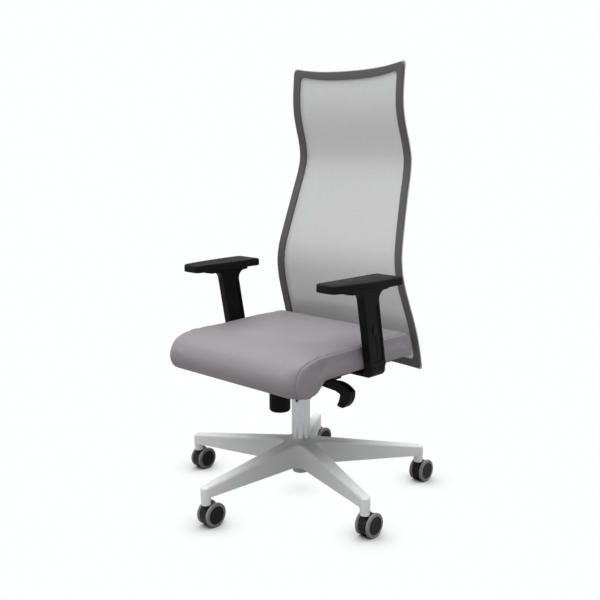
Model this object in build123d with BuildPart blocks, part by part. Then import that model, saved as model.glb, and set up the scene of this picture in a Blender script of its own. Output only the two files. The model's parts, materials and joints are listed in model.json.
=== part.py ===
"""High-back office chair: mesh back, upholstered seat, height-adjustable arms, five-star base.

The frame is +Z up and -Y towards the front of the seat, so +X is on the sitter's left.
The origin is on the floor, under the centre of the gas column.
Sizes are in millimetres.
"""
from build123d import *
from math import cos, radians, sin, tan
import os

# ---------------------------------------------------------------- driving dimensions
leg_count = 5
stem_circle = 335.0          # column axis to each castor stem
first_leg_angle = 268.6      # the base stands turned a little off straight ahead
leg_half_width_hub = 24.0
leg_half_width_tip = 13.0
leg_under = 80.0             # underside of the legs
leg_top_at_hub = 151.0       # top of the legs, extended to the column axis
leg_fall = 0.127             # fall of the leg top for each millimetre outwards
post_under = 60.0            # lower end of the castor posts

wheel_radius = 31.0
wheel_trail = 17.0           # stem to axle
wheel_outer_face = 20.3
wheel_inner_face = 9.6
tread_inner_face = 12.2
tread_seat_radius = 26.0
hub_face_radius = 23.2
stem_radius = 5.45
axle_radius = 3.0
axle_half_length = 16.0
running_gap = 0.05           # radial clearance of a shaft that turns or slides

tube_radius = 25.0
tube_foot_radius = 22.5      # lower end of the taper that sits in the base
tube_taper_top = 128.0
tube_bottom = 55.0
tube_top = 303.0
cylinder_radius = 14.0
cylinder_tip_radius = 13.2   # upper end of the taper that sits in the mechanism
rod_radius = 5.0
pin_radius = 4.0

housing_under = 308.0
housing_half_width = 55.0
housing_wall = 4.0
shaft_radius = 6.0
recline_shaft = (40.0, 324.0)    # y, z
seat_shaft = (-104.0, 346.0)     # y, z
knob_y = -81.0
lever_y = -35.0
lever_axle = (45.0, 334.0)       # x, z
lever_axle_length = 41.0
plate_under = 364.0
plate_thickness = 4.0

seat_half_width = 236.5
seat_front = -279.0
seat_rear = 182.0
cushion_under = 389.0
shell_under = 380.0
screw_radius = 3.0
screw_hole = 3.1
seat_screw_places = [(-80, -95), (80, -95), (-80, 110), (80, 110)]

arm_x = 252.0                    # centre of the arm post
arm_half_thickness = 12.0
arm_half_width = 30.0             # front to back
arm_lean = 10.6                  # degrees that the post leans forwards
ledge_z = 396.0
pad_under = 600.0
pad_top = 620.0
button_z = 490.0
button_half_width, button_half_height = 7.0, 10.0
button_room = 3.3                # space behind the sleeve's outer wall for the button's flange
foot_under = 370.0
tongue_half_thickness, tongue_half_width = 5.0, 20.0
tongue_top = 540.0
groove_depth, groove_half_width = 4.0, 10.0
slide_gap = 0.3
arm_screw_places = [(125, 2), (185, 2)]

back_bottom = 342.0
back_top = 1147.0
head_dip = 10.0                  # dip of the top bar between its raised corners
back_bow_radius = 1296.0         # plan radius of the back's sideways wrap
member_width = 25.0
frame_depth = 16.0
back_screw_places = [(-28, 412), (28, 412), (-28, 452), (28, 452)]
back_screw_heads = [258.9, 258.9, 247.0, 247.0]

# Centre line of the back from the side (y, z): lumbar bulge, neck hollow, head rest.
back_line = [(244.6, 310), (222.4, 420), (195.9, 500), (169.2, 580), (162.9, 630), (170.0, 680),
             (190.5, 760), (212.4, 840), (224.5, 898), (211.4, 960), (193.7, 1020), (190.0, 1060),
             (198.6, 1150)]
# Half width of the back (x, z): wide at the hips, narrow at the shoulders.
back_side = [(242.5, back_bottom), (238.3, 500), (223.0, 645), (202.9, 840), (194.6, 965),
             (193.2, 1060), (193.8, back_top)]

os.makedirs("parts", exist_ok=True)


def save(part, node):
    """Label a finished piece and write it as its own node."""
    part.label = node
    export_step(part, f"parts/{node}.step")


def profile_on_side(points):
    """Closed face in the YZ plane from straight runs between (y, z) points."""
    with BuildSketch() as face:
        with BuildLine():
            Polyline(*points, close=True)
        make_face()
    return face.sketch


# ---------------------------------------------------------------- star base
def leg_top(rho):
    """Height of the leg's top at a distance from the column axis."""
    return leg_top_at_hub - leg_fall * rho


def leg_half_width(rho):
    """Half width of the tapering leg at a distance from the column axis."""
    return leg_half_width_hub - (leg_half_width_hub - leg_half_width_tip) * rho / stem_circle


def under_cone(gap):
    """Solid of revolution below the tops of the legs, lowered by `gap`."""
    reach = stem_circle + leg_half_width_tip + 5
    with BuildPart() as cone:
        with BuildSketch(Plane.XZ):
            with BuildLine():
                Polyline((0, leg_under), (reach, leg_under), (reach, leg_top(reach) - gap),
                         (0, leg_top(0) - gap), close=True)
            make_face()
        revolve(axis=Axis.Z)
    return cone.part


def leg_pockets():
    """Hollow underside of the legs: three cells in each, with cross ribs between."""
    wall = 4.5
    cells = ((64, 142), (146, 226), (230, 308))
    with BuildPart() as pockets:
        with BuildSketch(Plane.XY.offset(leg_under)):
            for start, end in cells:
                near, far = leg_half_width(start) - wall, leg_half_width(end) - wall
                with PolarLocations(0, leg_count, start_angle=first_leg_angle):
                    Polygon((start, -near), (end, -far), (end, far), (start, near), align=None)
        extrude(amount=leg_top_at_hub - leg_under)
        add(under_cone(6.0), mode=Mode.INTERSECT)
    return pockets.part


def tapered_column(radius_under, under, radius_top, top):
    """Slightly conical plug round the column axis."""
    with BuildPart() as plug:
        with BuildSketch(Plane.XZ):
            with BuildLine():
                Polyline((0, under), (radius_under, under), (radius_top, top), (0, top), close=True)
            make_face()
        revolve(axis=Axis.Z)
    return plug.part


def make_base():
    post_radius_top, post_radius_under = leg_half_width_tip, 12.2
    post_top = leg_under + 6
    hub_corner, top_round = 20.0, 7.0
    socket_top = 98.0
    with BuildPart() as star_base:
        with BuildSketch(Plane.XY.offset(leg_under)) as plan:
            with PolarLocations(0, leg_count, start_angle=first_leg_angle):
                Polygon((0, -leg_half_width_hub), (stem_circle, -leg_half_width_tip),
                        (stem_circle, leg_half_width_tip), (0, leg_half_width_hub), align=None)
            with PolarLocations(stem_circle, leg_count, start_angle=first_leg_angle):
                Circle(leg_half_width_tip)
            between_legs = plan.vertices().sort_by_distance((0, 0, 0))[:leg_count]
            fillet(between_legs, hub_corner)
        extrude(amount=leg_top_at_hub - leg_under)
        add(under_cone(0.0), mode=Mode.INTERSECT)
        top = star_base.faces().filter_by(GeomType.CONE).sort_by(Axis.Z)[-1]
        fillet(top.edges(), top_round)
        add(leg_pockets(), mode=Mode.SUBTRACT)
        with PolarLocations(stem_circle, leg_count, start_angle=first_leg_angle):
            with Locations((0, 0, (post_under + post_top) / 2)):
                Cone(post_radius_under, post_radius_top, post_top - post_under)
            with Locations((0, 0, (post_under + socket_top) / 2)):
                Cylinder(stem_radius + running_gap, socket_top - post_under, mode=Mode.SUBTRACT)
        add(tapered_column(tube_foot_radius, tube_bottom, tube_radius, tube_taper_top), mode=Mode.SUBTRACT)
        with Locations((0, 0, (tube_taper_top + leg_top_at_hub) / 2)):
            Cylinder(tube_radius, leg_top_at_hub - tube_taper_top, mode=Mode.SUBTRACT)
    save(star_base.part, "star_base")


# ---------------------------------------------------------------- gas column
def make_column():
    wall = 2.0
    floor_top = tube_bottom + 4
    with BuildPart() as gas_spring_tube:
        with BuildSketch(Plane.XZ):
            with BuildLine():
                Polyline((0, tube_bottom), (tube_foot_radius, tube_bottom), (tube_radius, tube_taper_top),
                         (tube_radius, tube_top), (tube_radius - wall, tube_top),
                         (tube_radius - wall, tube_taper_top), (tube_foot_radius - wall, floor_top),
                         (0, floor_top), close=True)
            make_face()
        revolve(axis=Axis.Z)
        with Locations((0, 0, tube_bottom)):
            Cylinder(rod_radius + running_gap, 20, mode=Mode.SUBTRACT)
    save(gas_spring_tube.part, "gas_spring_tube")

    guide_under = 205.0
    with BuildPart() as gas_spring_guide:
        with Locations((0, 0, (guide_under + tube_top) / 2)):
            Cylinder(tube_radius - wall, tube_top - guide_under)
        with Locations((0, 0, tube_top + 1)):
            Cylinder(tube_radius - 0.5, 2)
        with Locations((0, 0, (guide_under + tube_top) / 2)):
            Cylinder(cylinder_radius + running_gap, 200, mode=Mode.SUBTRACT)
    save(gas_spring_guide.part, "gas_spring_guide")

    cylinder_under, cylinder_top = 75.0, 336.0
    bore, bore_under, bore_shoulder, bore_top = 12.5, cylinder_under + 14, 300.0, 322.0
    with BuildPart() as gas_cylinder:
        with BuildSketch(Plane.XZ):
            with BuildLine():
                Polyline((0, cylinder_under), (cylinder_radius, cylinder_under),
                         (cylinder_radius, housing_under), (cylinder_tip_radius, cylinder_top - 2),
                         (cylinder_tip_radius - 2, cylinder_top), (0, cylinder_top), close=True)
            make_face()
        revolve(axis=Axis.Z)
        with BuildSketch(Plane.XZ):
            with BuildLine():
                Polyline((0, bore_under), (bore, bore_under), (bore, bore_shoulder),
                         (bore - 2.5, bore_top), (0, bore_top), close=True)
            make_face()
        revolve(axis=Axis.Z, mode=Mode.SUBTRACT)
        with Locations((0, 0, cylinder_under)):
            Cylinder(rod_radius + running_gap, 40, mode=Mode.SUBTRACT)
        with Locations((0, 0, cylinder_top)):
            Cylinder(pin_radius + running_gap, 40, mode=Mode.SUBTRACT)
    save(gas_cylinder.part, "gas_cylinder")

    rod_top, piston_under = 212.0, 200.0
    bearing_under, bearing_thickness, bearing_radius = floor_top + 0.2, 5.0, 12.0
    with BuildPart() as piston_rod:
        with Locations((0, 0, (tube_bottom + rod_top) / 2 + 0.5)):
            Cylinder(rod_radius, rod_top - tube_bottom - 1)
        with Locations((0, 0, bearing_under + bearing_thickness / 2)):
            Cylinder(bearing_radius, bearing_thickness)
        with Locations((0, 0, (piston_under + rod_top) / 2)):
            Cylinder(bore - 2 * running_gap, rod_top - piston_under)
    save(piston_rod.part, "piston_rod")

    pin_under, pin_top = 326.0, 343.0
    with BuildPart() as release_pin:
        with Locations((0, 0, (pin_under + pin_top) / 2)):
            Cylinder(pin_radius, pin_top - pin_under)
        fillet(release_pin.edges().group_by(Axis.Z)[-1], 1.5)
    save(release_pin.part, "release_pin")


# ---------------------------------------------------------------- tilt mechanism
def make_mechanism():
    front, rear = -118.0, 58.0
    side = [(front, 318), (front + 10, housing_under), (rear - 8, housing_under), (rear, 316),
            (rear, 338), (front, 355)]
    inside = [(front + housing_wall, 319), (front + 12, housing_under + housing_wall),
              (rear - 10, housing_under + housing_wall), (rear - housing_wall, 317),
              (rear - housing_wall, 360), (front + housing_wall, 360)]
    lug_length, lug_wall, lug_height = 15.0, 4.0, 32.0
    blade_half = 16.5            # half width of the openings for the levers
    socket_radius, socket_top = 21.0, 334.0
    knob_shank_radius = 8.0
    with BuildPart() as mechanism_housing:
        with BuildSketch(Plane.YZ):
            add(profile_on_side(side))
        extrude(amount=housing_half_width, both=True)
        fillet(mechanism_housing.edges().filter_by(Axis.Z), 6)
        with BuildSketch(Plane.YZ):
            add(profile_on_side(inside))
        extrude(amount=housing_half_width - housing_wall, both=True, mode=Mode.SUBTRACT)
        with Locations((0, 0, (housing_under + socket_top) / 2)):
            Cylinder(socket_radius, socket_top - housing_under)
        add(tapered_column(cylinder_radius, housing_under, cylinder_tip_radius, socket_top),
            mode=Mode.SUBTRACT)
        for x in (-1, 1):
            for y in (lever_y - blade_half - lug_wall / 2, lever_y + blade_half + lug_wall / 2):
                with Locations((x * (housing_half_width - housing_wall - lug_length / 2), y, 328)):
                    Box(lug_length, lug_wall, lug_height)
            with Locations((x * housing_half_width, lever_y, 345)):
                Box(4 * housing_wall, 2 * blade_half, 46, mode=Mode.SUBTRACT)
            with Locations(Location((x * lever_axle[0], lever_y, lever_axle[1]), (90, 0, 0))):
                Cylinder(4 + running_gap, 2 * (blade_half + lug_wall), mode=Mode.SUBTRACT)
        for y, z in (recline_shaft, seat_shaft):
            with Locations(Location((0, y, z), (0, 90, 0))):
                Cylinder(shaft_radius, 3 * housing_half_width, mode=Mode.SUBTRACT)
        with Locations((0, knob_y, housing_under)):
            Cylinder(knob_shank_radius + running_gap, 20, mode=Mode.SUBTRACT)
    save(mechanism_housing.part, "mechanism_housing")

    shaft_half_length = 69.5
    with BuildPart() as hinge_shafts:
        for y, z in (recline_shaft, seat_shaft):
            with Locations(Location((0, y, z), (0, 90, 0))):
                Cylinder(shaft_radius, 2 * shaft_half_length)
        chamfer(hinge_shafts.edges().filter_by(GeomType.CIRCLE), 1)
    save(hinge_shafts.part, "hinge_shafts")

    spring_radius, wire_radius, spring_pitch = 16.0, 2.4, 6.5
    spring_under, spring_height = housing_under + housing_wall + wire_radius + 0.3, 26.0
    with BuildPart() as tension_spring:
        with BuildLine():
            coil = Helix(spring_pitch, spring_height, spring_radius, center=(0, knob_y, spring_under))
        with BuildSketch(Plane(origin=coil @ 0, z_dir=coil % 0)):
            Circle(wire_radius)
        sweep()
    save(tension_spring.part, "tension_spring")

    knob_radius, knob_under, knob_top, shank_top = 28.0, 245.0, 304.0, 342.0
    flute_count, flute_radius = 24, 1.9
    with BuildPart() as tension_knob:
        with Locations((0, knob_y, (knob_under + knob_top) / 2)):
            Cylinder(knob_radius, knob_top - knob_under)
        fillet(tension_knob.edges().group_by(Axis.Z)[0], 7)
        fillet(tension_knob.edges().group_by(Axis.Z)[-1], 2)
        with Locations((0, knob_y, (knob_under + knob_top) / 2)):
            with PolarLocations(knob_radius + 0.6, flute_count):
                Cylinder(flute_radius, knob_top - knob_under + 2, mode=Mode.SUBTRACT)
        with Locations((0, knob_y, (knob_top + shank_top) / 2)):
            Cylinder(knob_shank_radius, shank_top - knob_top)
    save(tension_knob.part, "tension_knob")


def lever_blade():
    """Hooked finger lever on the sitter's left, with its root block and moulded axle."""
    blade_width, root_width = 21.0, 30.0
    with BuildPart() as lever:
        with BuildSketch(Plane.XZ.offset(-lever_y - blade_width / 2)):
            with BuildLine():
                Polyline((186, 283), (166, 286))
                ThreePointArc((166, 286), (175, 302), (178, 318))
                Polyline((178, 318), (162, 324), (108, 328), (60, 328), (60, 341), (110, 346), (155, 346))
                ThreePointArc((155, 346), (190, 342), (211, 329))
                ThreePointArc((211, 329), (206, 302), (186, 283))
            make_face()
        extrude(amount=blade_width)
        tip = lever.edges().filter_by(Axis.Y).sort_by(Axis.Z)[:2]
        fillet(tip, 4)
        with Locations((51, lever_y, lever_axle[1])):
            Box(24, root_width, 15)
        with Locations(Location((lever_axle[0], lever_y, lever_axle[1]), (90, 0, 0))):
            Cylinder(4, lever_axle_length)
    return lever.part


def make_levers():
    save(lever_blade(), "lock_lever")
    with BuildPart() as height_lever:
        add(lever_blade().mirror(Plane.YZ))
        with Locations((-40, lever_y, 341)):
            Box(10, 14, 14)
        with Locations((-21, lever_y, 346)):
            Box(48, 14, 5)
        with Locations((-2, -18, 346)):
            Box(12, 46, 5)
    save(height_lever.part, "height_lever")


# ---------------------------------------------------------------- seat
def make_seat():
    plate_top = plate_under + plate_thickness
    boss_length, boss_width, boss_y = 246.0, 190.0, 3.0
    hole_depth = 14.0            # half of it above the shell's underside
    with BuildPart() as seat_plate:
        with BuildSketch(Plane.XY.offset(plate_under)):
            with Locations((0, boss_y)):
                RectangleRounded(boss_width + 10, boss_length + 8, 12)
            with Locations(*seat_screw_places):
                Circle(screw_hole, mode=Mode.SUBTRACT)
        extrude(amount=plate_thickness)
        with BuildSketch(Plane.YZ.offset(58.5)):
            with BuildLine():
                Polyline((-90, plate_under), (-118, plate_under), (-116, 340))
                ThreePointArc((-116, 340), (-104, 334), (-92, 340))
                Line((-92, 340), (-90, plate_under))
            make_face()
        extrude(amount=4.5)
        mirror(about=Plane.YZ)
        with Locations(Location((0, *seat_shaft), (0, 90, 0))):
            Cylinder(shaft_radius + running_gap, 200, mode=Mode.SUBTRACT)
    save(seat_plate.part, "seat_plate")

    with BuildPart() as seat_shell:
        with BuildSketch(Plane.XY.offset(shell_under)):
            with Locations((0, -10)):
                RectangleRounded(430, 340, 40)
        extrude(amount=cushion_under - shell_under - 0.2)
        with BuildSketch(Plane.XY.offset(plate_top)):
            with Locations((0, boss_y)):
                RectangleRounded(boss_width, boss_length, 12)
        extrude(amount=shell_under - plate_top)
        with Locations(*[(x, y, plate_top + hole_depth / 2) for x, y in seat_screw_places]):
            Cylinder(screw_hole, hole_depth, mode=Mode.SUBTRACT)
        with Locations(*[(side * x, y, shell_under) for side in (-1, 1) for x, y in arm_screw_places]):
            Cylinder(screw_hole, hole_depth, mode=Mode.SUBTRACT)
        fillet(seat_shell.faces().sort_by(Axis.Z)[-1].outer_wire().edges(), 3)
    save(seat_shell.part, "seat_shell")

    with BuildPart() as seat_cushion:
        with BuildSketch(Plane.YZ):
            with BuildLine():
                Polyline((-180, cushion_under), (seat_rear, cushion_under), (seat_rear - 4, 438))
                Spline((seat_rear - 4, 438), (seat_rear - 16, 450), (60, 457), (-80, 460), (-190, 454), (-252, 438),
                       (-276, 410), (seat_front + 1, 385), (-262, 359), (-225, 366),
                       (-180, cushion_under))
            make_face()
        extrude(amount=seat_half_width, both=True)
        with BuildSketch(Plane.XY.offset(350)):
            with Locations((0, (seat_front + seat_rear) / 2)):
                RectangleRounded(2 * seat_half_width, seat_rear - seat_front + 4, 28)
        extrude(amount=130, mode=Mode.INTERSECT)
    save(seat_cushion.part, "seat_cushion")

    with BuildPart() as seat_screws:
        plate_heads = [(x, y, plate_under - 2) for x, y in seat_screw_places]
        arm_heads = [(side * x, y, foot_under - 2) for side in (-1, 1) for x, y in arm_screw_places]
        with Locations(*(plate_heads + arm_heads)):
            Cylinder(6, 4)
        with Locations(*[(x, y, z + 9) for x, y, z in plate_heads + arm_heads]):
            Cylinder(screw_radius, 16)
    save(seat_screws.part, "seat_screws")


# ---------------------------------------------------------------- arms
def post_y(z):
    """Centre of the leaning arm post at a height."""
    return 2.0 - (z - 393.0) * tan(radians(arm_lean))


def arm_bracket():
    """L-shaped bracket: foot under the seat, elbow, and the tongue that guides the sleeve."""
    inner, outer = arm_x - arm_half_thickness, arm_x + arm_half_thickness
    front, rear = post_y(ledge_z) - arm_half_width, post_y(ledge_z) + arm_half_width
    elbow_top = ledge_z - 0.8
    with BuildPart() as bracket:
        with BuildSketch(Plane.XZ.offset(-rear)) as foot:
            with BuildLine():
                Polyline((104, foot_under), (outer, foot_under), (outer, elbow_top), (inner, elbow_top),
                         (inner, shell_under - 0.3), (104, shell_under - 0.3), close=True)
            make_face()
            fillet(foot.vertices().sort_by(Axis.X)[-2:].sort_by(Axis.Y)[:1], 16)
        extrude(amount=rear - front)
        rims = bracket.faces().filter_by(Axis.Y).edges()
        fillet([edge for edge in rims if edge.center().Z < shell_under - 1 or edge.center().X > outer - 1], 7)
        with BuildSketch(Plane.YZ.offset(arm_x - tongue_half_thickness)):
            add(leaning_bar(elbow_top - 6, tongue_top, tongue_half_width))
        extrude(amount=2 * tongue_half_thickness)
        with BuildSketch(Plane.YZ.offset(arm_x + tongue_half_thickness - groove_depth)):
            add(leaning_bar(ledge_z + 20, tongue_top + 20, groove_half_width))
        extrude(amount=20, mode=Mode.SUBTRACT)
        with Locations(*[(x, y, foot_under) for x, y in arm_screw_places]):
            Cylinder(screw_hole, 40, mode=Mode.SUBTRACT)
    return bracket.part


def leaning_bar(low, high, half_width):
    """Side view of a bar that leans with the arm post."""
    return profile_on_side([(post_y(low) - half_width, low), (post_y(low) + half_width, low),
                            (post_y(high) + half_width, high), (post_y(high) - half_width, high)])


def arm_sleeve():
    """Sliding T-shaped arm: hollow post, recessed panels and the flared top under the pad."""
    lip_under, flare_top = 588.0, 594.0
    front_tip, rear_tip = -100.5, 30.5
    neck_round = 22.0
    recess, mark_depth = 2.0, 0.7
    inner = arm_x - arm_half_thickness
    with BuildPart() as sleeve:
        with BuildSketch(Plane.YZ.offset(inner)) as side_view:
            add(leaning_bar(ledge_z, lip_under, arm_half_width))
            add(profile_on_side([(front_tip, lip_under), (rear_tip, lip_under), (rear_tip, flare_top),
                                 (front_tip, flare_top)]))
            necks = [v for v in side_view.vertices()
                     if abs(v.Y - lip_under) < 0.01 and front_tip + 1 < v.X < rear_tip - 1]
            fillet(necks, neck_round)
        extrude(amount=2 * arm_half_thickness)
        rims = sleeve.faces().filter_by(Axis.X).edges() - sleeve.edges().filter_by(Axis.Y)
        fillet(rims, 3)
        with BuildSketch(Plane.XY.offset(flare_top - 1)):
            with Locations((arm_x, -49)):
                RectangleRounded(50, 152, 12)
        extrude(amount=pad_under - flare_top + 0.9)
        with BuildSketch(Plane.YZ.offset(arm_x - tongue_half_thickness - slide_gap)):
            add(leaning_bar(ledge_z - 10, tongue_top + 24, tongue_half_width + slide_gap))
        extrude(amount=2 * tongue_half_thickness + slide_gap + button_room, mode=Mode.SUBTRACT)
        for face_x in (inner, inner + 2 * arm_half_thickness - recess):
            with BuildSketch(Plane.YZ.offset(face_x)) as panel:
                add(leaning_bar(ledge_z + 14, lip_under - 33, arm_half_width - 8))
                fillet(panel.vertices(), 5)
            extrude(amount=recess, mode=Mode.SUBTRACT)
        with BuildSketch(Plane.YZ.offset(arm_x)):
            with Locations((post_y(button_z), button_z)):
                Ellipse(button_half_width + 0.3, button_half_height + 0.3)
        extrude(amount=20, mode=Mode.SUBTRACT)
        panel_face = inner + 2 * arm_half_thickness - recess
        with BuildSketch(Plane.YZ.offset(panel_face - mark_depth)) as mark:
            add(leaning_bar(ledge_z + 22, button_z - button_half_height - 4, 2.5))
            fillet(mark.vertices(), 2)
        extrude(amount=recess, mode=Mode.SUBTRACT)
    return sleeve.part


def arm_button():
    """Height release button with the flange that keeps it inside the sleeve."""
    flange_outer = arm_x + tongue_half_thickness + button_room - 0.4
    place = (post_y(button_z), button_z)
    with BuildPart() as button:
        with BuildSketch(Plane.YZ.offset(flange_outer)):
            with Locations(place):
                Ellipse(button_half_width, button_half_height)
        extrude(amount=arm_x + arm_half_thickness + 0.4 - flange_outer)
        fillet(button.edges().group_by(Axis.X)[-1], 1)
        with BuildSketch(Plane.YZ.offset(flange_outer - 1.6)):
            with Locations(place):
                Ellipse(button_half_width + 2.5, button_half_height + 2.5)
        extrude(amount=1.6)
    return button.part


def arm_pad():
    """Soft pad, narrower at the front than at the rear."""
    with BuildPart() as pad:
        with BuildSketch(Plane.XY.offset(pad_under)) as plan:
            with BuildLine():
                Polyline((211, -180), (270, -180), (296, -60), (296, 55), (211, 55), close=True)
            make_face()
            fillet(plan.vertices().group_by(Axis.Y)[0], 14)
            fillet(plan.vertices().group_by(Axis.Y)[-1], 10)
        extrude(amount=pad_top - pad_under)
        fillet(pad.faces().sort_by(Axis.Z)[-1].edges(), 5)
        fillet(pad.faces().sort_by(Axis.Z)[0].edges(), 6)
    return pad.part


def make_arms():
    pieces = {"arm_bracket": arm_bracket(), "arm_sleeve": arm_sleeve(), "arm_button": arm_button(),
              "arm_pad": arm_pad()}
    for name, piece in pieces.items():
        save(piece, f"{name}_left")
        save(piece.mirror(Plane.YZ), f"{name}_right")


# ---------------------------------------------------------------- back
def back_layer(front, rear):
    """Layer that follows the back's curve, from `front` to `rear` behind the mesh surface."""
    axis_y = -1070.0
    half_angle = 13.0
    start_x, start_y = sin(radians(half_angle)), cos(radians(half_angle))
    start_plane = Plane(origin=(0, axis_y, 0), x_dir=(start_x, start_y, 0), z_dir=(start_y, -start_x, 0))
    with BuildPart() as layer:
        with BuildSketch(start_plane):
            with BuildLine():
                near = Spline(*[(y + front - axis_y, z) for y, z in back_line])
                far = Spline(*[(y + rear - axis_y, z) for y, z in back_line])
                Line(near @ 0, far @ 0)
                Line(near @ 1, far @ 1)
            make_face()
        revolve(axis=Axis((0, axis_y, 0), (0, 0, 1)), revolution_arc=2 * half_angle)
    return layer.part


def back_outline(inset, corner_round=6.0):
    """Face of the back from the front (x, z), drawn in by `inset` all round, in short straight facets."""
    side_facets, top_facets = 24, 8
    low, high = back_bottom + inset, back_top - inset
    bends = [(x - inset, z) for x, z in back_side[1:-1]]
    foot, head = (back_side[0][0] - inset, low), (back_side[-1][0] - inset, high)
    curve = Edge.make_spline([Vector(*place) for place in (foot, *bends, head)])
    side = [tuple(curve @ (k / side_facets))[:2] for k in range(side_facets + 1)]
    shares = [2 * k / top_facets - 1 for k in range(top_facets + 1)]
    with BuildSketch() as face:
        with BuildLine():
            Polyline(*side)
            Polyline(*[(-x, z) for x, z in side])
            Line((-foot[0], low), foot)
            Polyline(*[(head[0] * share, high - head_dip * (1 - share ** 2)) for share in shares])
        make_face()
        corners = [v for v in face.vertices() for x, z in (foot, head)
                   if abs(abs(v.X) - x) < 0.01 and abs(v.Y - z) < 0.01]
        fillet(corners, corner_round)
    return face.sketch


def make_back():
    with BuildPart() as back_frame:
        add(back_layer(0.3, frame_depth))
        with BuildSketch(Plane.XZ):
            add(back_outline(0))
            add(back_outline(member_width, 8), mode=Mode.SUBTRACT)
        extrude(amount=500, both=True, mode=Mode.INTERSECT)
    save(back_frame.part, "back_frame")

    with BuildPart() as mesh_border:
        add(back_layer(-5.0, -1.3))
        with BuildSketch(Plane.XZ):
            add(back_outline(3.5))
            add(back_outline(member_width - 1, 8), mode=Mode.SUBTRACT)
        extrude(amount=500, both=True, mode=Mode.INTERSECT)
    save(mesh_border.part, "mesh_border")

    with BuildPart() as back_mesh:
        add(back_layer(-1.2, 0.0))
        with BuildSketch(Plane.XZ):
            add(back_outline(9.5))
        extrude(amount=500, both=True, mode=Mode.INTERSECT)
    save(back_mesh.part, "back_mesh")

    crossbar_under, crossbar_top = 392.0, 485.0
    with BuildPart() as back_crossbar:
        add(back_layer(5.0, frame_depth))
        with BuildSketch(Plane.XZ):
            add(back_outline(member_width + 0.2, 8))
            with Locations((0, (crossbar_under + crossbar_top) / 2)):
                Rectangle(600, crossbar_top - crossbar_under, mode=Mode.INTERSECT)
        extrude(amount=500, both=True, mode=Mode.INTERSECT)
        with Locations(*[Location((x, 230, z), (90, 0, 0)) for x, z in back_screw_places]):
            Cylinder(screw_hole, 120, mode=Mode.SUBTRACT)
    save(back_crossbar.part, "back_crossbar")

    spine_half_width, spine_under, spine_top = 45.0, 312.0, 336.0
    upright_top = 478.0
    with BuildPart() as back_arm:
        add(back_layer(frame_depth + 0.4, frame_depth + 14))
        with BuildSketch(Plane.XZ):
            with Locations((0, (spine_under + upright_top) / 2)):
                RectangleRounded(2 * spine_half_width, upright_top - spine_under, 10)
        extrude(amount=500, both=True, mode=Mode.INTERSECT)
        with BuildSketch(Plane.YZ):
            add(profile_on_side([(68, spine_under), (266, spine_under), (274, 322), (268, spine_top + 4),
                                 (259, spine_top), (68, spine_top)]))
        extrude(amount=spine_half_width, both=True)
        with BuildSketch(Plane.XY.offset(spine_under)):
            with Locations((0, 78)):
                Rectangle(136, 20)
        extrude(amount=spine_top - spine_under)
        with BuildSketch(Plane.YZ.offset(58.5)):
            with Locations(recline_shaft):
                Circle(12)
            with Locations((63, (spine_under + spine_top) / 2)):
                Rectangle(46, spine_top - spine_under)
        extrude(amount=9.5)
        mirror(about=Plane.YZ)
        with Locations(Location((0, *recline_shaft), (0, 90, 0))):
            Cylinder(shaft_radius + running_gap, 200, mode=Mode.SUBTRACT)
        with Locations(*[Location((x, 230, z), (90, 0, 0)) for x, z in back_screw_places]):
            Cylinder(screw_hole, 120, mode=Mode.SUBTRACT)
    save(back_arm.part, "back_arm")

    with BuildPart() as back_screws:
        for (x, z), head_y in zip(back_screw_places, back_screw_heads):
            with Locations(Location((x, head_y, z), (90, 0, 0))):
                Cylinder(7, 4)
            with Locations(Location((x, head_y - 12, z), (90, 0, 0))):
                Cylinder(screw_radius, 22)
    save(back_screws.part, "back_screws")


# ---------------------------------------------------------------- castors
def ring_across(radii, faces):
    """Solid of revolution round the X axis from (x, radius) steps."""
    with BuildPart() as ring:
        with BuildSketch(Plane.XY):
            with BuildLine():
                Polyline(*zip(faces, radii), close=True)
            make_face()
        revolve(axis=Axis.X)
    return ring.part


def wheel_core():
    """Hub with a blind bore for the axle and a shallow dished face."""
    rim_face = wheel_outer_face - 2.0
    hub_face = wheel_outer_face - 0.4
    dish = 1.2
    bore = axle_radius + running_gap
    return ring_across(
        (bore, tread_seat_radius, tread_seat_radius, hub_face_radius, hub_face_radius,
         hub_face_radius - 3, 0, 0, bore),
        (wheel_inner_face, wheel_inner_face, rim_face, rim_face, hub_face,
         hub_face - dish, hub_face - dish, axle_half_length + 0.3, axle_half_length + 0.3))


def wheel_tread():
    rim_face = wheel_outer_face - 2.0
    edge = 1.6
    return ring_across(
        (tread_seat_radius, wheel_radius - edge, wheel_radius, wheel_radius, wheel_radius - edge,
         hub_face_radius, hub_face_radius, tread_seat_radius),
        (tread_inner_face, tread_inner_face, tread_inner_face + edge, wheel_outer_face - edge,
         wheel_outer_face, wheel_outer_face, rim_face, rim_face))


def castor_hood():
    """Housing between the wheels, with the stem boss. The stem axis is the local Z axis."""
    hood_radius, boss_radius = 28.0, 9.0
    half_width = 9.0
    with BuildPart() as hood:
        with BuildSketch(Plane.YZ):
            with Locations((wheel_trail, wheel_radius)):
                Circle(hood_radius)
        extrude(amount=half_width, both=True)
        with Locations((0, 0, (wheel_radius - 6 + post_under - 0.6) / 2)):
            Cylinder(boss_radius, post_under - 0.6 - (wheel_radius - 6))
        with Locations((0, 0, 48)):
            Cylinder(stem_radius, 36, mode=Mode.SUBTRACT)
        with Locations(Location((0, wheel_trail, wheel_radius), (0, 90, 0))):
            Cylinder(axle_radius, 60, mode=Mode.SUBTRACT)
    return hood.part


def castor_pins():
    """Steel swivel stem and wheel axle."""
    stem_bottom, stem_top = 31.0, 96.0
    with BuildPart() as pins:
        with Locations((0, 0, (stem_bottom + stem_top) / 2)):
            Cylinder(stem_radius, stem_top - stem_bottom)
        with Locations(Location((0, wheel_trail, wheel_radius), (0, 90, 0))):
            Cylinder(axle_radius, 2 * axle_half_length)
    return pins.part


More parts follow.
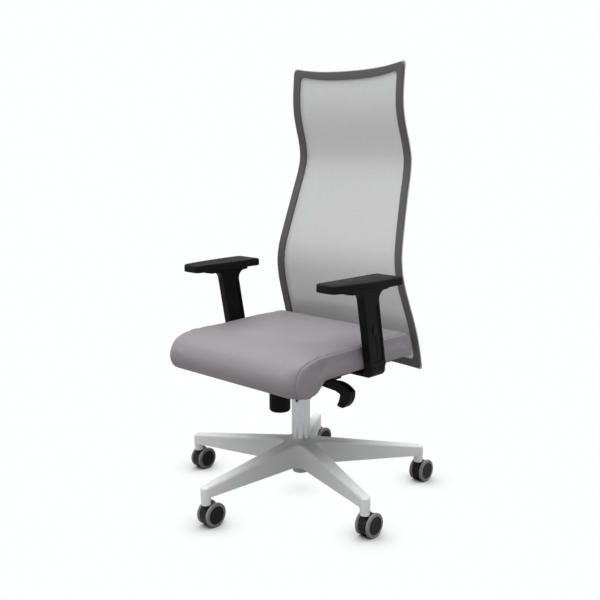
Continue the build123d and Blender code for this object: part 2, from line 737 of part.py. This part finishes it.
def make_castors():
    hood, pins, core, tread = castor_hood(), castor_pins(), wheel_core(), wheel_tread()
    axle = Location((0, wheel_trail, wheel_radius))
    wheels = {"wheel_core_left": core.moved(axle), "wheel_tread_left": tread.moved(axle),
              "wheel_core_right": core.mirror(Plane.YZ).moved(axle),
              "wheel_tread_right": tread.mirror(Plane.YZ).moved(axle)}
    for index in range(leg_count):
        angle = radians(first_leg_angle + index * 360 / leg_count)
        stem = Location((stem_circle * cos(angle), stem_circle * sin(angle), 0))
        pieces = {"castor_hood": hood, "castor_pins": pins, **wheels}
        for name, piece in pieces.items():
            save(piece.moved(stem), f"{name}_{index + 1}")


make_base()
make_column()
make_mechanism()
make_levers()
make_seat()
make_arms()
make_back()
make_castors()
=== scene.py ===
"""Looks of the high-back mesh office chair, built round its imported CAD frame.

Everything is in metres in the row frame: +Z up, -Y towards the front of the seat, +X on the
sitter's left. Positions come from the CAD nodes' boxes and surfaces.
"""

import json
from math import cos, exp, pi, radians, sin, sqrt

import bmesh
import bpy
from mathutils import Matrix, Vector
from mathutils.bvhtree import BVHTree
from mathutils.kdtree import KDTree


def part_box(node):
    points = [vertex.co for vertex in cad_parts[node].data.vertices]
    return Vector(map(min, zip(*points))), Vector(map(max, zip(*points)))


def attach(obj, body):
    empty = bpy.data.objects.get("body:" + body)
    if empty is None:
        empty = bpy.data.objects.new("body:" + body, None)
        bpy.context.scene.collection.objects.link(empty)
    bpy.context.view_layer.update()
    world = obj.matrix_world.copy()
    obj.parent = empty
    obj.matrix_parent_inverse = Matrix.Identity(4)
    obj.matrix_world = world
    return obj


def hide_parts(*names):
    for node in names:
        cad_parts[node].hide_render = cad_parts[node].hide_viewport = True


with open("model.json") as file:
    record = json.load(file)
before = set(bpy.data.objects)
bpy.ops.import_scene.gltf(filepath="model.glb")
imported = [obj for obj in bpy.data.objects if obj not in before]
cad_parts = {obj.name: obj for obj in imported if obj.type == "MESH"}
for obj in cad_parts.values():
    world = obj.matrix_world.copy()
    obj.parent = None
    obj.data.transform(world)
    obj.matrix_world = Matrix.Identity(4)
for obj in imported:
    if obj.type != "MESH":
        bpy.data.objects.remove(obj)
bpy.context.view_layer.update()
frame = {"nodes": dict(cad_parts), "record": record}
MM = 0.001


# ---------------------------------------------------------------- geometry helpers
def new_object(name, verts, faces, smooth=True):
    """Mesh object from points and faces, with outward normals."""
    mesh = bpy.data.meshes.new(name)
    mesh.from_pydata([tuple(v) for v in verts], [], faces)
    mesh.validate()
    shape = bmesh.new()
    shape.from_mesh(mesh)
    bmesh.ops.recalc_face_normals(shape, faces=shape.faces)
    shape.to_mesh(mesh)
    shape.free()
    mesh.shade_smooth() if smooth else mesh.shade_flat()
    thing = bpy.data.objects.new(name, mesh)
    bpy.context.scene.collection.objects.link(thing)
    return thing


def loft(name, rings, caps=True):
    """Skin over a list of closed rings with the same number of points."""
    count = len(rings[0])
    verts = [p for ring in rings for p in ring]
    faces = []
    for i in range(len(rings) - 1):
        for j in range(count):
            k = (j + 1) % count
            faces.append((i * count + j, i * count + k, (i + 1) * count + k, (i + 1) * count + j))
    if caps:
        faces.append(tuple(range(count))[::-1])
        faces.append(tuple(range((len(rings) - 1) * count, len(rings) * count)))
    return new_object(name, verts, faces)


def curve_through(points, steps):
    """Catmull-Rom curve through the points, `steps` pieces between each pair."""
    out = []
    last = len(points) - 1
    for i in range(last):
        p0, p1 = points[max(i - 1, 0)], points[i]
        p2, p3 = points[i + 1], points[min(i + 2, last)]
        for s in range(steps):
            t = s / steps
            out.append(tuple(
                0.5 * (2 * b + (c - a) * t + (2 * a - 5 * b + 4 * c - d) * t * t
                       + (3 * b - a - 3 * c + d) * t ** 3)
                for a, b, c, d in zip(p0, p1, p2, p3)))
    return out + [tuple(points[last])]


def rounded_loop(corners, steps):
    """Closed loop of 2-D points round corners given as (across, up, radius)."""
    loop = []
    for k, (across, up, radius) in enumerate(corners):
        here = Vector((across, up))
        before, after = Vector(corners[k - 1][:2]), Vector(corners[(k + 1) % len(corners)][:2])
        start = here + (before - here).normalized() * radius
        end = here + (after - here).normalized() * radius
        for step in range(steps + 1):
            t = step / steps
            loop.append((1 - t) ** 2 * start + 2 * t * (1 - t) * here + t * t * end)
    return loop


def surface_of(thing):
    """Tree for casting rays at an object's final surface."""
    return BVHTree.FromObject(thing, bpy.context.evaluated_depsgraph_get())


# ---------------------------------------------------------------- materials
class Shader:
    """A procedural material on one Principled shader, with object coordinates in metres."""

    def __init__(self, name, color, roughness, **sockets):
        self.material = bpy.data.materials.new(name)
        self.material.use_nodes = True
        self.nodes = self.material.node_tree.nodes
        self.links = self.material.node_tree.links
        self.shader = self.nodes["Principled BSDF"]
        self.place = self.nodes.new("ShaderNodeTexCoord").outputs["Object"]
        self.color, self.roughness = color, roughness
        self.height = None
        self.set("Base Color", (*color, 1))
        self.set("Roughness", roughness)
        for socket, value in sockets.items():
            self.set(socket.replace("_", " "), value)

    def set(self, socket, value):
        self.shader.inputs[socket].default_value = value

    def node(self, kind, settings=None, **inputs):
        made = self.nodes.new("ShaderNode" + kind)
        for key, value in (settings or {}).items():
            setattr(made, key, value)
        for socket, value in inputs.items():
            target = made.inputs[int(socket[1:]) if socket[1:].isdigit() else socket.replace("_", " ")]
            if isinstance(value, bpy.types.NodeSocket):
                self.links.new(value, target)
            else:
                target.default_value = value
        return made

    def math(self, operation, a, b=0.0, c=0.0):
        return self.node("Math", {"operation": operation}, _0=a, _1=b, _2=c).outputs[0]

    def noise(self, scale, detail=2.0, stretch=None):
        """Noise from 0 to 1; scale is in features per metre."""
        place = self.place
        if stretch:
            place = self.node("Mapping", Vector=place, Scale=stretch).outputs[0]
        return self.node("TexNoise", Vector=place, Scale=scale, Detail=detail).outputs["Fac"]

    def cells(self, scale, feature="SMOOTH_F1"):
        """Distance within rounded cells; scale is in cells per metre."""
        texture = self.node("TexVoronoi", {"feature": feature}, Vector=self.place, Scale=scale)
        return texture.outputs["Distance"]

    def spread(self, value, low, high, start=0.3, stop=0.7):
        """value from start..stop mapped to low..high."""
        return self.node("MapRange", Value=value, _1=start, _2=stop, _3=low, _4=high).outputs[0]

    def tint(self, value, other):
        """Base colour drifts from its own to `other` with value."""
        mix = self.node("Mix", {"data_type": "RGBA"}, _0=value)
        before = self.shader.inputs["Base Color"].links
        if before:
            self.links.new(before[0].from_socket, mix.inputs[6])
        else:
            mix.inputs[6].default_value = (*self.color, 1)
        mix.inputs[7].default_value = (*other, 1)
        self.links.new(mix.outputs[2], self.shader.inputs["Base Color"])

    def rough(self, value):
        self.links.new(value, self.shader.inputs["Roughness"])

    def bump(self, value, distance, strength=1.0):
        """Adds a height layer; distance is its depth in metres."""
        layer = self.node("Bump", Height=value, Distance=distance, Strength=strength)
        if self.height:
            self.links.new(self.height, layer.inputs["Normal"])
        self.height = layer.outputs[0]
        self.links.new(self.height, self.shader.inputs["Normal"])


def grey(value):
    return (value, value, value)


def shaded(color, factor):
    return tuple(c * factor for c in color)


def moulded(name, color, roughness, grain=2600, depth=0.00006, drift=1.16, **sockets):
    """Injection-moulded plastic: fine spark grain, slow gloss changes and a little dust tone."""
    gloss_change = 0.06
    m = Shader(name, color, roughness, **sockets)
    fine = m.noise(grain, 3)
    slow = m.noise(14, 3)
    m.tint(m.spread(slow, 0, 1), shaded(color, drift))
    m.rough(m.spread(m.math("ADD", m.math("MULTIPLY", fine, 0.4), m.math("MULTIPLY", slow, 0.6)),
                     roughness - gloss_change, roughness + gloss_change))
    m.bump(fine, depth)
    return m.material


def polished(name, color, roughness, streak):
    """Plated or drawn metal: faint marks drawn out along one axis."""
    m = Shader(name, color, roughness, Metallic=1.0)
    lines = m.noise(900, 2, stretch=streak)
    haze = m.noise(18, 2)
    m.tint(m.spread(haze, 0, 1), shaded(color, 0.9))
    m.rough(m.spread(lines, roughness * 0.7, roughness * 1.5))
    m.bump(lines, 0.000012)
    return m.material


def rubbery(name, color, roughness, grain=1500, **sockets):
    """Soft polyurethane: pebble grain and scuffed, slightly lighter patches."""
    m = Shader(name, color, roughness, **sockets)
    pebble = m.cells(grain)
    scuff = m.noise(40, 4)
    m.tint(m.spread(scuff, 0, 1), shaded(color, 1.25))
    m.rough(m.spread(scuff, roughness - 0.05, roughness + 0.08))
    m.bump(pebble, 0.00008)
    return m.material


def leatherette(name, color):
    """Coated upholstery: creased pebble grain with painted shade in its creases, over a slow change of
    tone.
    """
    m = Shader(name, color, 0.5, Specular_IOR_Level=0.25, Sheen_Weight=0.05)
    pebble = m.cells(620)
    crease = m.cells(620, "DISTANCE_TO_EDGE")
    slow = m.noise(7, 4)
    m.tint(m.spread(slow, 0, 0.8), shaded(color, 0.93))
    # Painted shade: the colour darkens towards the edges of the grain's cells, in its creases.
    m.tint(m.spread(crease, 0.22, 0, 0.0, 0.12), shaded(color, 0.72))
    m.rough(m.spread(m.math("ADD", m.math("MULTIPLY", slow, 0.5), m.math("MULTIPLY", pebble, 0.5)),
                     0.44, 0.58, 0.2, 0.7))
    m.bump(m.noise(90, 3), 0.0004, 0.35)
    m.bump(pebble, 0.00016, 0.8)
    return m.material


def woven_mesh(name, color):
    """Open elastic net: columns of small oval holes, offset from row to row."""
    pitch_x, pitch_z = 0.0026, 0.0022
    hole_flatness = 1.15             # holes are a little wider than high
    m = Shader(name, color, 0.62, Sheen_Weight=0.1)
    split = m.node("SeparateXYZ", Vector=m.place)
    across = m.math("DIVIDE", split.outputs["X"], pitch_x)
    upward = m.math("DIVIDE", split.outputs["Z"], pitch_z)
    row = m.math("FLOOR", upward)
    shift = m.math("MULTIPLY", m.math("MODULO", row, 2.0), 0.5)
    cell_x = m.math("SUBTRACT", m.math("FRACT", m.math("ADD", across, shift)), 0.5)
    cell_z = m.math("SUBTRACT", m.math("FRACT", upward), 0.5)
    flattened_z = m.math("MULTIPLY", cell_z, hole_flatness)
    radius = m.math("SQRT", m.math("ADD", m.math("POWER", cell_x, 2.0),
                                   m.math("POWER", flattened_z, 2.0)))
    uneven = m.noise(350, 2)
    thread = m.spread(m.math("ADD", radius, m.math("MULTIPLY", uneven, 0.05)), 0.75, 1.0, 0.25, 0.40)
    m.links.new(thread, m.shader.inputs["Alpha"])
    m.tint(m.spread(m.noise(500, 2), 0, 1), shaded(color, 0.86))
    m.rough(m.spread(uneven, 0.55, 0.72))
    m.bump(radius, 0.0003, 0.6)
    return m.material


def edging(name, color):
    """Dense woven strip along the rim of the mesh."""
    m = Shader(name, color, 0.6, Sheen_Weight=0.1)
    ribs = m.node("TexWave", {"bands_direction": "Z"}, Vector=m.place, Scale=190.0, Distortion=0.4)
    speck = m.noise(900, 3)
    m.tint(m.spread(speck, 0, 1), shaded(color, 1.3))
    m.rough(m.spread(speck, 0.52, 0.7))
    m.bump(ribs.outputs["Fac"], 0.00015, 0.5)
    return m.material


finishes = {
    "base_white": moulded("white nylon", (0.93, 0.935, 0.94), 0.34, depth=0.00003, drift=0.97),
    "chrome_tube": polished("chrome plate", (0.80, 0.81, 0.82), 0.16, (1, 1, 0.02)),
    "steel": polished("bright steel", (0.55, 0.56, 0.57), 0.3, (0.05, 1, 1)),
    "black_steel": moulded("black powder coat", grey(0.012), 0.5, grain=1400, depth=0.0001),
    "mechanism_black": moulded("mechanism black", grey(0.012), 0.5, Specular_IOR_Level=0.35),
    "black_plastic": moulded("black plastic", grey(0.005), 0.42, Specular_IOR_Level=0.14),
    "black_panel": moulded("black panel", grey(0.004), 0.32, Specular_IOR_Level=0.2),
    "arm_pad_soft": rubbery("soft pad", grey(0.007), 0.5, Specular_IOR_Level=0.12),
    "shell_black": moulded("seat shell", grey(0.015), 0.55, grain=1200, depth=0.00012),
    "frame_grey": moulded("frame grey", (0.70, 0.71, 0.72), 0.42, drift=0.95),
    "border_grey": edging("edging", grey(0.10)),
    "mesh_grey": woven_mesh("net", (0.82, 0.825, 0.83)),
    "castor_black": moulded("castor nylon", grey(0.007), 0.38, Specular_IOR_Level=0.35),
    "tread_grey": rubbery("soft tread", grey(0.22), 0.55, 2200),
    "upholstery": leatherette("leatherette", (0.325, 0.298, 0.315)),
}
for part in frame["record"]["subparts"]:
    node = frame["nodes"][part["node"]]
    node.data.materials.clear()
    node.data.materials.append(finishes[part["material_slot"]])


def finish_piece(piece, slot, body, *replaced):
    """Material from its slot, ride, and the CAD nodes that the piece stands for."""
    piece.data.materials.clear()
    piece.data.materials.append(finishes[slot])
    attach(piece, body)
    if replaced:
        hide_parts(*replaced)
    return piece


# ---------------------------------------------------------------- camera, light and floor
backdrop_white = (0.99, 0.995, 1, 1)
sky_light = 0.26


def add_camera():
    """Camera off the front left corner of the chair, a little above seat height."""
    azimuth, elevation, distance = radians(43.307), radians(10.351), 2.2288
    aim = Vector((0, -0.0036, 0.5322))
    toward = Vector((-sin(azimuth) * cos(elevation), cos(azimuth) * cos(elevation), -sin(elevation)))
    data = bpy.data.cameras.new("camera")
    data.lens = 50.34
    data.sensor_width = 36.0
    camera = bpy.data.objects.new("camera", data)
    camera.location = aim - toward * distance
    camera.rotation_euler = toward.to_track_quat("-Z", "Y").to_euler()
    bpy.context.scene.collection.objects.link(camera)
    bpy.context.scene.camera = camera


def add_sun(name, comes_from, spread, strength):
    """Even light from a wide patch of sky; spread is the patch's angle in degrees."""
    data = bpy.data.lights.new(name, "SUN")
    data.energy = strength
    data.angle = radians(spread)
    lamp = bpy.data.objects.new(name, data)
    lamp.rotation_euler = (-Vector(comes_from)).to_track_quat("-Z", "Y").to_euler()
    bpy.context.scene.collection.objects.link(lamp)


def add_sky():
    """White behind the chair, soft light on it, and strips for polished metal to mirror."""
    world = bpy.data.worlds.new("studio")
    bpy.context.scene.world = world
    world.use_nodes = True
    nodes, links = world.node_tree.nodes, world.node_tree.links

    def backdrop(strength):
        made = nodes.new("ShaderNodeBackground")
        made.inputs["Color"].default_value = backdrop_white
        made.inputs["Strength"].default_value = strength
        return made

    def choose(flag, other, when_true):
        mix = nodes.new("ShaderNodeMixShader")
        links.new(path.outputs[flag], mix.inputs[0])
        links.new(other.outputs[0], mix.inputs[1])
        links.new(when_true.outputs[0], mix.inputs[2])
        return mix

    path = nodes.new("ShaderNodeLightPath")
    strips = backdrop(1.0)
    around = nodes.new("ShaderNodeTexCoord")
    wave = nodes.new("ShaderNodeTexWave")
    wave.wave_profile = "SIN"
    wave.inputs["Scale"].default_value = 0.9
    wave.inputs["Distortion"].default_value = 2.5
    wave.inputs["Phase Offset"].default_value = 1.2
    links.new(around.outputs["Generated"], wave.inputs["Vector"])
    tone = nodes.new("ShaderNodeMapRange")
    tone.inputs["To Min"].default_value = 0.05
    tone.inputs["To Max"].default_value = 1.0
    links.new(wave.outputs["Fac"], tone.inputs["Value"])
    links.new(tone.outputs[0], strips.inputs["Strength"])
    lit = choose("Is Glossy Ray", backdrop(sky_light), strips)
    seen = choose("Is Camera Ray", lit, backdrop(1.0))
    links.new(seen.outputs[0], nodes["World Output"].inputs["Surface"])


def add_floor():
    """Floor seen white with soft contact shadows, which throws back only part of the light."""
    half = 30.0
    corners = [(-half, -half, 0), (half, -half, 0), (half, half, 0), (-half, half, 0)]
    floor = new_object("floor", corners, [(0, 1, 2, 3)], smooth=False)
    paint = Shader("floor", grey(0.4), 1.0, Specular_IOR_Level=0.0)
    path = paint.nodes.new("ShaderNodeLightPath")
    nearby = paint.node("AmbientOcclusion", {"samples": 12}, Distance=0.08).outputs["AO"]
    glow = paint.node("Emission", Color=backdrop_white,
                      Strength=paint.spread(nearby, 0.0, 1.0, 0.2, 0.95))
    mix = paint.node("MixShader", _0=path.outputs["Is Camera Ray"], _1=paint.shader.outputs[0],
                     _2=glow.outputs[0])
    paint.links.new(mix.outputs[0], paint.nodes["Material Output"].inputs["Surface"])
    floor.data.materials.append(paint.material)


add_camera()
add_sky()
add_sun("overhead", (-0.05, 0.0, 1.0), 85, 3.3)
add_sun("front", (-0.5, -1.0, 0.5), 40, 0.22)
add_floor()
bpy.context.scene.view_settings.view_transform = "Standard"


# ---------------------------------------------------------------- seat cushion
seat_half_width = 236.5 * MM
seat_middle_y = -48.5 * MM
front_round, rear_round, edge_round = 38 * MM, 9 * MM, 9 * MM
panel_fold = 7 * MM              # how far the side panels wrap over the edge before the seam
stitch_inset = 5 * MM            # from the seam to the row of stitches
# Side view (y, z) in millimetres from the rear underside, over the top and round the nose.
seat_side = [(179, 389.5), (183, 397), (183, 420), (181, 434), (172, 446), (148, 452.5), (60, 454.5),
             (-80, 449.5), (-190, 448), (-250, 434), (-273, 410), (-278, 384), (-266, 360),
             (-242, 354), (-212, 364), (-190, 383), (-178, 389.5)]
loop_steps = 6                   # points of the side view's curve from one point to the next
seat_loop = curve_through([(y * MM, z * MM) for y, z in seat_side], loop_steps)
seat_reach = 226 * MM            # from the seat's middle to its front or rear
seat_height = 412 * MM           # height that the rounded edges shrink towards
seat_rise = 48 * MM              # from that height to the top
seam_ring = 2, 14 * loop_steps   # part of the loop that the seams follow


def seat_ring(x):
    """Closed section of the cushion at x, drawn in where the plan corners and the edges round."""
    def drawn_in(radius):
        past = max(0.0, abs(x) - (seat_half_width - radius))
        return radius - sqrt(max(0.0, radius ** 2 - past ** 2))
    front = 1 - drawn_in(front_round) / seat_reach
    rear = 1 - drawn_in(rear_round) / seat_reach
    upright = 1 - drawn_in(edge_round) / seat_rise
    return [Vector((x, seat_middle_y + (y - seat_middle_y) * (front if y < seat_middle_y else rear),
                    seat_height + (z - seat_height) * upright if z > seat_height else z))
            for y, z in seat_loop]


def seat_form():
    """Plain cushion form, lofted from side to side."""
    flat_steps, corner_steps = 8, 9
    flat_part = seat_half_width - front_round
    stations = [flat_part * k / flat_steps for k in range(-flat_steps, flat_steps + 1)]
    curved = [flat_part + front_round * sin(pi / 2 * k / corner_steps)
              for k in range(1, corner_steps + 1)]
    stations = [-x for x in reversed(curved)] + stations + curved
    return loft("seat_cushion_skin", [seat_ring(x) for x in stations])


def apply_modifiers(thing):
    """Replaces an object's mesh by the result of its modifiers."""
    tree = bpy.context.evaluated_depsgraph_get()
    mesh = bpy.data.meshes.new_from_object(thing.evaluated_get(tree))
    thing.modifiers.clear()
    thing.data = mesh
    thing.data.shade_smooth()


def inflate(thing, voxel, pressure, most, is_held):
    """Remeshes a form evenly and blows it up like stuffed cloth, no point moving more than `most`."""
    remesh = thing.modifiers.new("even", "REMESH")
    remesh.mode, remesh.voxel_size = "VOXEL", voxel
    smooth = thing.modifiers.new("smooth", "SMOOTH")
    smooth.factor, smooth.iterations = 0.5, 4
    apply_modifiers(thing)
    start = [v.co.copy() for v in thing.data.vertices]
    held = thing.vertex_groups.new(name="held")
    held.add([i for i, p in enumerate(start) if is_held(p)], 1.0, "REPLACE")
    cloth = thing.modifiers.new("cloth", "CLOTH")
    cloth.settings.use_pressure = True
    cloth.settings.uniform_pressure_force = pressure
    cloth.settings.vertex_group_mass = "held"
    cloth.settings.effector_weights.gravity = 0.0
    cloth_frames = 20
    for frame_number in range(1, cloth_frames + 1):
        bpy.context.scene.frame_set(frame_number)
    apply_modifiers(thing)
    bpy.context.scene.frame_set(1)
    thing.vertex_groups.clear()
    for vertex, place in zip(thing.data.vertices, start):
        move = vertex.co - place
        if move.length > most:
            vertex.co = place + move * (most / move.length)


def near_line(line):
    """Distance from a point to a closely spaced line of points."""
    tree = KDTree(len(line))
    for i, point in enumerate(line):
        tree.insert(point, i)
    tree.balance()
    return lambda point: tree.find(point)[2]


def seam_line(x):
    """Path of a seam at x, from the rear underside over the top to the nose's underside."""
    ring = seat_ring(x)
    path = curve_through([ring[i] for i in range(*seam_ring, 2)], 12)
    return [Vector(p) for p in path]


def sew(thing, lines, reach, depth):
    """Refines the mesh along the lines and presses a seam into it, with a slight swell each side."""
    groove_width, swell_place, swell_width, swell_share = 1.1 * MM, 4 * MM, 2.2 * MM, 0.35
    distance = near_line([p for line in lines for p in line])
    shape = bmesh.new()
    shape.from_mesh(thing.data)
    near = {v for v in shape.verts if distance(v.co) < reach}
    edges = [e for e in shape.edges if e.verts[0] in near and e.verts[1] in near]
    bmesh.ops.subdivide_edges(shape, edges=edges, cuts=2, use_grid_fill=True)
    shape.normal_update()
    moves = []
    for v in shape.verts:
        d = distance(v.co)
        if d < 3 * reach:
            groove = -depth * exp(-(d / groove_width) ** 2)
            swell = swell_share * depth * exp(-((d - swell_place) / swell_width) ** 2)
            moves.append((v, v.normal * (groove + swell)))
    for v, move in moves:
        v.co += move
    shape.to_mesh(thing.data)
    shape.free()
    thing.data.shade_smooth()


def stitch_row(name, tree, line, pitch, length, radius):
    """Row of short thread stitches lying on a surface along a line."""
    walked, next_start, placed = 0.0, pitch, []
    for here, there in zip(line, line[1:]):
        walked += (there - here).length
        if walked >= next_start:
            placed.append((here, (there - here).normalized()))
            next_start += pitch
    sides = 6
    # Rings of one stitch: place along it, size and lift, with thin ends sunk in the cover.
    stitch = ((-0.5, 0.35, 0.0), (-0.36, 1.0, 0.35), (0.36, 1.0, 0.35), (0.5, 0.35, 0.0))
    verts, faces = [], []
    for place, ahead in placed:
        point, normal = tree.find_nearest(place)[:2]
        across = normal.cross(ahead).normalized()
        start = len(verts)
        for along, size, lift in stitch:
            centre = point + ahead * (along * length) + normal * (lift * radius)
            base = len(verts)
            verts += [centre + radius * size * (cos(2 * pi * k / sides) * across
                                                 + sin(2 * pi * k / sides) * normal)
                      for k in range(sides)]
            if base > start:
                faces += [(base - sides + k, base - sides + (k + 1) % sides,
                           base + (k + 1) % sides, base + k) for k in range(sides)]
        faces.append(tuple(start + k for k in range(sides)))
        faces.append(tuple(base + k for k in reversed(range(sides))))
    return new_object(name, verts, faces)


def make_cushion():
    skin = seat_form()
    inflate(skin, 5 * MM, 2.5, 3 * MM, lambda p: p.z < 392 * MM and p.y > -185 * MM)
    finer = skin.modifiers.new("finer", "SUBSURF")
    finer.levels = finer.render_levels = 1
    apply_modifiers(skin)
    tree = surface_of(skin)
    seams = [[tree.find_nearest(p)[0] for p in seam_line(side * (seat_half_width - panel_fold))]
             for side in (-1, 1)]
    sew(skin, seams, reach=7 * MM, depth=1.2 * MM)
    finish_piece(skin, "upholstery", "seat", "seat_cushion")
    tree = surface_of(skin)
    for side, name in ((-1, "right"), (1, "left")):
        path = seam_line(side * (seat_half_width - panel_fold - stitch_inset))
        row = [tree.find_nearest(p)[0] for p in path]
        thread = stitch_row(f"seat_stitches_{name}", tree, row,
                            pitch=5.5 * MM, length=4.2 * MM, radius=0.4 * MM)
        finish_piece(thread, "upholstery", "seat")


make_cushion()


# ---------------------------------------------------------------- back
bow_axis_y = -1070 * MM          # the back wraps round an upright axis this far in front
mesh_inset = 9.5 * MM            # the CAD mesh stops this far inside the frame's outline
back_low, back_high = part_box("back_frame")
mesh_tree = surface_of(frame["nodes"]["back_mesh"])


def on_mesh(x, z):
    """Front surface of the CAD mesh straight behind (x, z), or None past its edge."""
    return mesh_tree.ray_cast(Vector((x, -1, z)), Vector((0, 1, 0)))[0]


def last_hit(inside, outside):
    """Edge of the CAD mesh between a point (x, z) on it and one off it."""
    halvings = 16
    for _ in range(halvings):
        middle = ((inside[0] + outside[0]) / 2, (inside[1] + outside[1]) / 2)
        if on_mesh(*middle):
            inside = middle
        else:
            outside = middle
    return inside


def sampled(values):
    """Smooth function through (position, value) pairs, carried on in line past both ends."""
    points = curve_through(values, 8)

    def value(at):
        for (a, va), (b, vb) in zip(points, points[1:]):
            if at <= b:
                break
        return va + (vb - va) * (at - a) / (b - a)
    return value


sheet_low, sheet_high = back_low.z + mesh_inset, back_high.z - mesh_inset
heights = [sheet_low + 8 * MM + (sheet_high - sheet_low - 34 * MM) * k / 18 for k in range(19)]
centre_y = sampled([(z, on_mesh(0, z).y) for z in heights])
side_x = sampled([(z, last_hit((0, z), (0.3, z))[0] + mesh_inset) for z in heights])
corner_rise = 4 * MM             # the top corners stand this far above the CAD's
top_dip = sheet_high - last_hit((0, heights[-1]), (0, back_high.z))[1] + 1.5 * corner_rise


def back_point(x, z, depth):
    """Point `depth` behind the mesh's front surface."""
    return Vector((x, bow_axis_y + sqrt((centre_y(z) + depth - bow_axis_y) ** 2 - x * x), z))


def head_drop(share):
    """How far the top bar lies below its raised corners, at a share of its half length."""
    return top_dip * (1 - abs(share) ** 2.6)


def back_outline(inset, corner):
    """Outline of the back from the front as (x, z), drawn in by `inset`, with rounded corners."""
    low, high = back_low.z + inset, back_high.z + corner_rise - inset
    side_steps, top_steps, corner_steps = 60, 24, 6

    def side(z):
        return side_x(z) - inset

    def top(x):
        return high - head_drop(x / side(high))

    def bend(a, corner_point, b):
        """Rounded corner from a to b, both ends left out."""
        return [tuple((1 - t) ** 2 * p + 2 * t * (1 - t) * q + t * t * r
                      for p, q, r in zip(a, corner_point, b))
                for t in (k / corner_steps for k in range(1, corner_steps))]

    ends = low + corner, high - corner
    right = [(side(z), z) for z in (ends[0] + (ends[1] - ends[0]) * k / side_steps
                                    for k in range(side_steps + 1))]
    reach = side(high) - corner
    half_top = [(x, top(x)) for x in (reach * (1 - 2 * k / top_steps) for k in range(top_steps + 1))]
    bottom_reach = side(low) - corner
    bottom = [(-bottom_reach + 2 * bottom_reach * k / top_steps, low) for k in range(top_steps + 1)]
    left = [(-x, z) for x, z in reversed(right)]
    return (right + bend(right[-1], (side(high), high), half_top[0]) + half_top
            + bend(half_top[-1], (-side(high), high), left[0]) + left
            + bend(left[-1], (-side(low), low), bottom[0]) + bottom
            + bend(bottom[-1], (side(low), low), right[0]))


def band(name, section, corner):
    """Closed band round the back whose section is a loop of (inset, depth) points."""
    rings = [[back_point(x, z, depth) for x, z in back_outline(inset, corner)]
             for inset, depth in section]
    return loft(name, rings + rings[:1], caps=False)


def millimetres(corners):
    """(across, up, radius) corners given in millimetres."""
    return [tuple(value * MM for value in corner) for corner in corners]


def make_back_frame():
    section = [(0, 0.3, 1), (25, 0.3, 1), (25, 16, 3), (13.5, 16, 4), (0, 2.8, 1.2)]
    frame_skin = band("back_frame_skin", rounded_loop(millimetres(section), 5), 11 * MM)
    finish_piece(frame_skin, "frame_grey", "back", "back_frame")


def make_border():
    section = [(1.8, -5, 3), (24, -5, 1.6), (24, 0.1, 0.8), (1.8, 0.1, 0.8)]
    border = band("mesh_border_skin", rounded_loop(millimetres(section), 5), 17 * MM)
    finish_piece(border, "border_grey", "back", "mesh_border")


def make_net():
    """One stretched sheet, tucked behind the border all round."""
    across, upward, net_depth = 48, 140, -0.4 * MM
    low, high = back_low.z + mesh_inset, back_high.z + corner_rise - mesh_inset
    verts, faces = [], []
    for j in range(upward + 1):
        for i in range(across + 1):
            u, v = 2 * i / across - 1, j / upward
            z = low + (high - head_drop(u) - low) * v
            verts.append(back_point(u * (side_x(z) - mesh_inset), z, net_depth))
            if i and j:
                here = len(verts) - 1
                faces.append((here, here - 1, here - across - 2, here - across - 1))
    net = new_object("back_mesh_skin", verts, faces)
    finish_piece(net, "mesh_grey", "back", "back_mesh")
    width = 2 * max(side_x(z) - mesh_inset for z in heights)


make_back_frame()
make_border()
make_net()


# ---------------------------------------------------------------- arm pads
def pad_outline(inset):
    """Plan of the left pad as (x, y), narrower at the front, drawn in by `inset`."""
    plan = [(211, 55, 10), (211, -180, 14), (270, -180, 14), (296, -60, 60), (296, 55, 10)]
    middle = Vector((252, -60)) * MM
    return [p + (middle - p).normalized() * min(inset, (middle - p).length)
            for p in rounded_loop(millimetres(plan), 8)]


def make_pad(side, body):
    """Integral-skin pad: rounded rim, slightly crowned top, flat underside."""
    low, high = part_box(f"arm_pad_{side}")
    sign = 1 if side == "left" else -1
    steps = [(3, 0), (0.9, 0.7), (0, 2.8), (0, 8), (0, 14.6), (0.5, 17), (1.8, 18.8), (4.5, 19.8),
             (12, 20.4), (24, 21)]
    rings = [[Vector((sign * p.x, p.y, low.z + height * MM)) for p in pad_outline(inset * MM)]
             for inset, height in steps]
    pad = loft(f"arm_pad_{side}_skin", rings)
    finish_piece(pad, "arm_pad_soft", body, f"arm_pad_{side}")


for side in ("left", "right"):
    make_pad(side, f"arm_{side}")
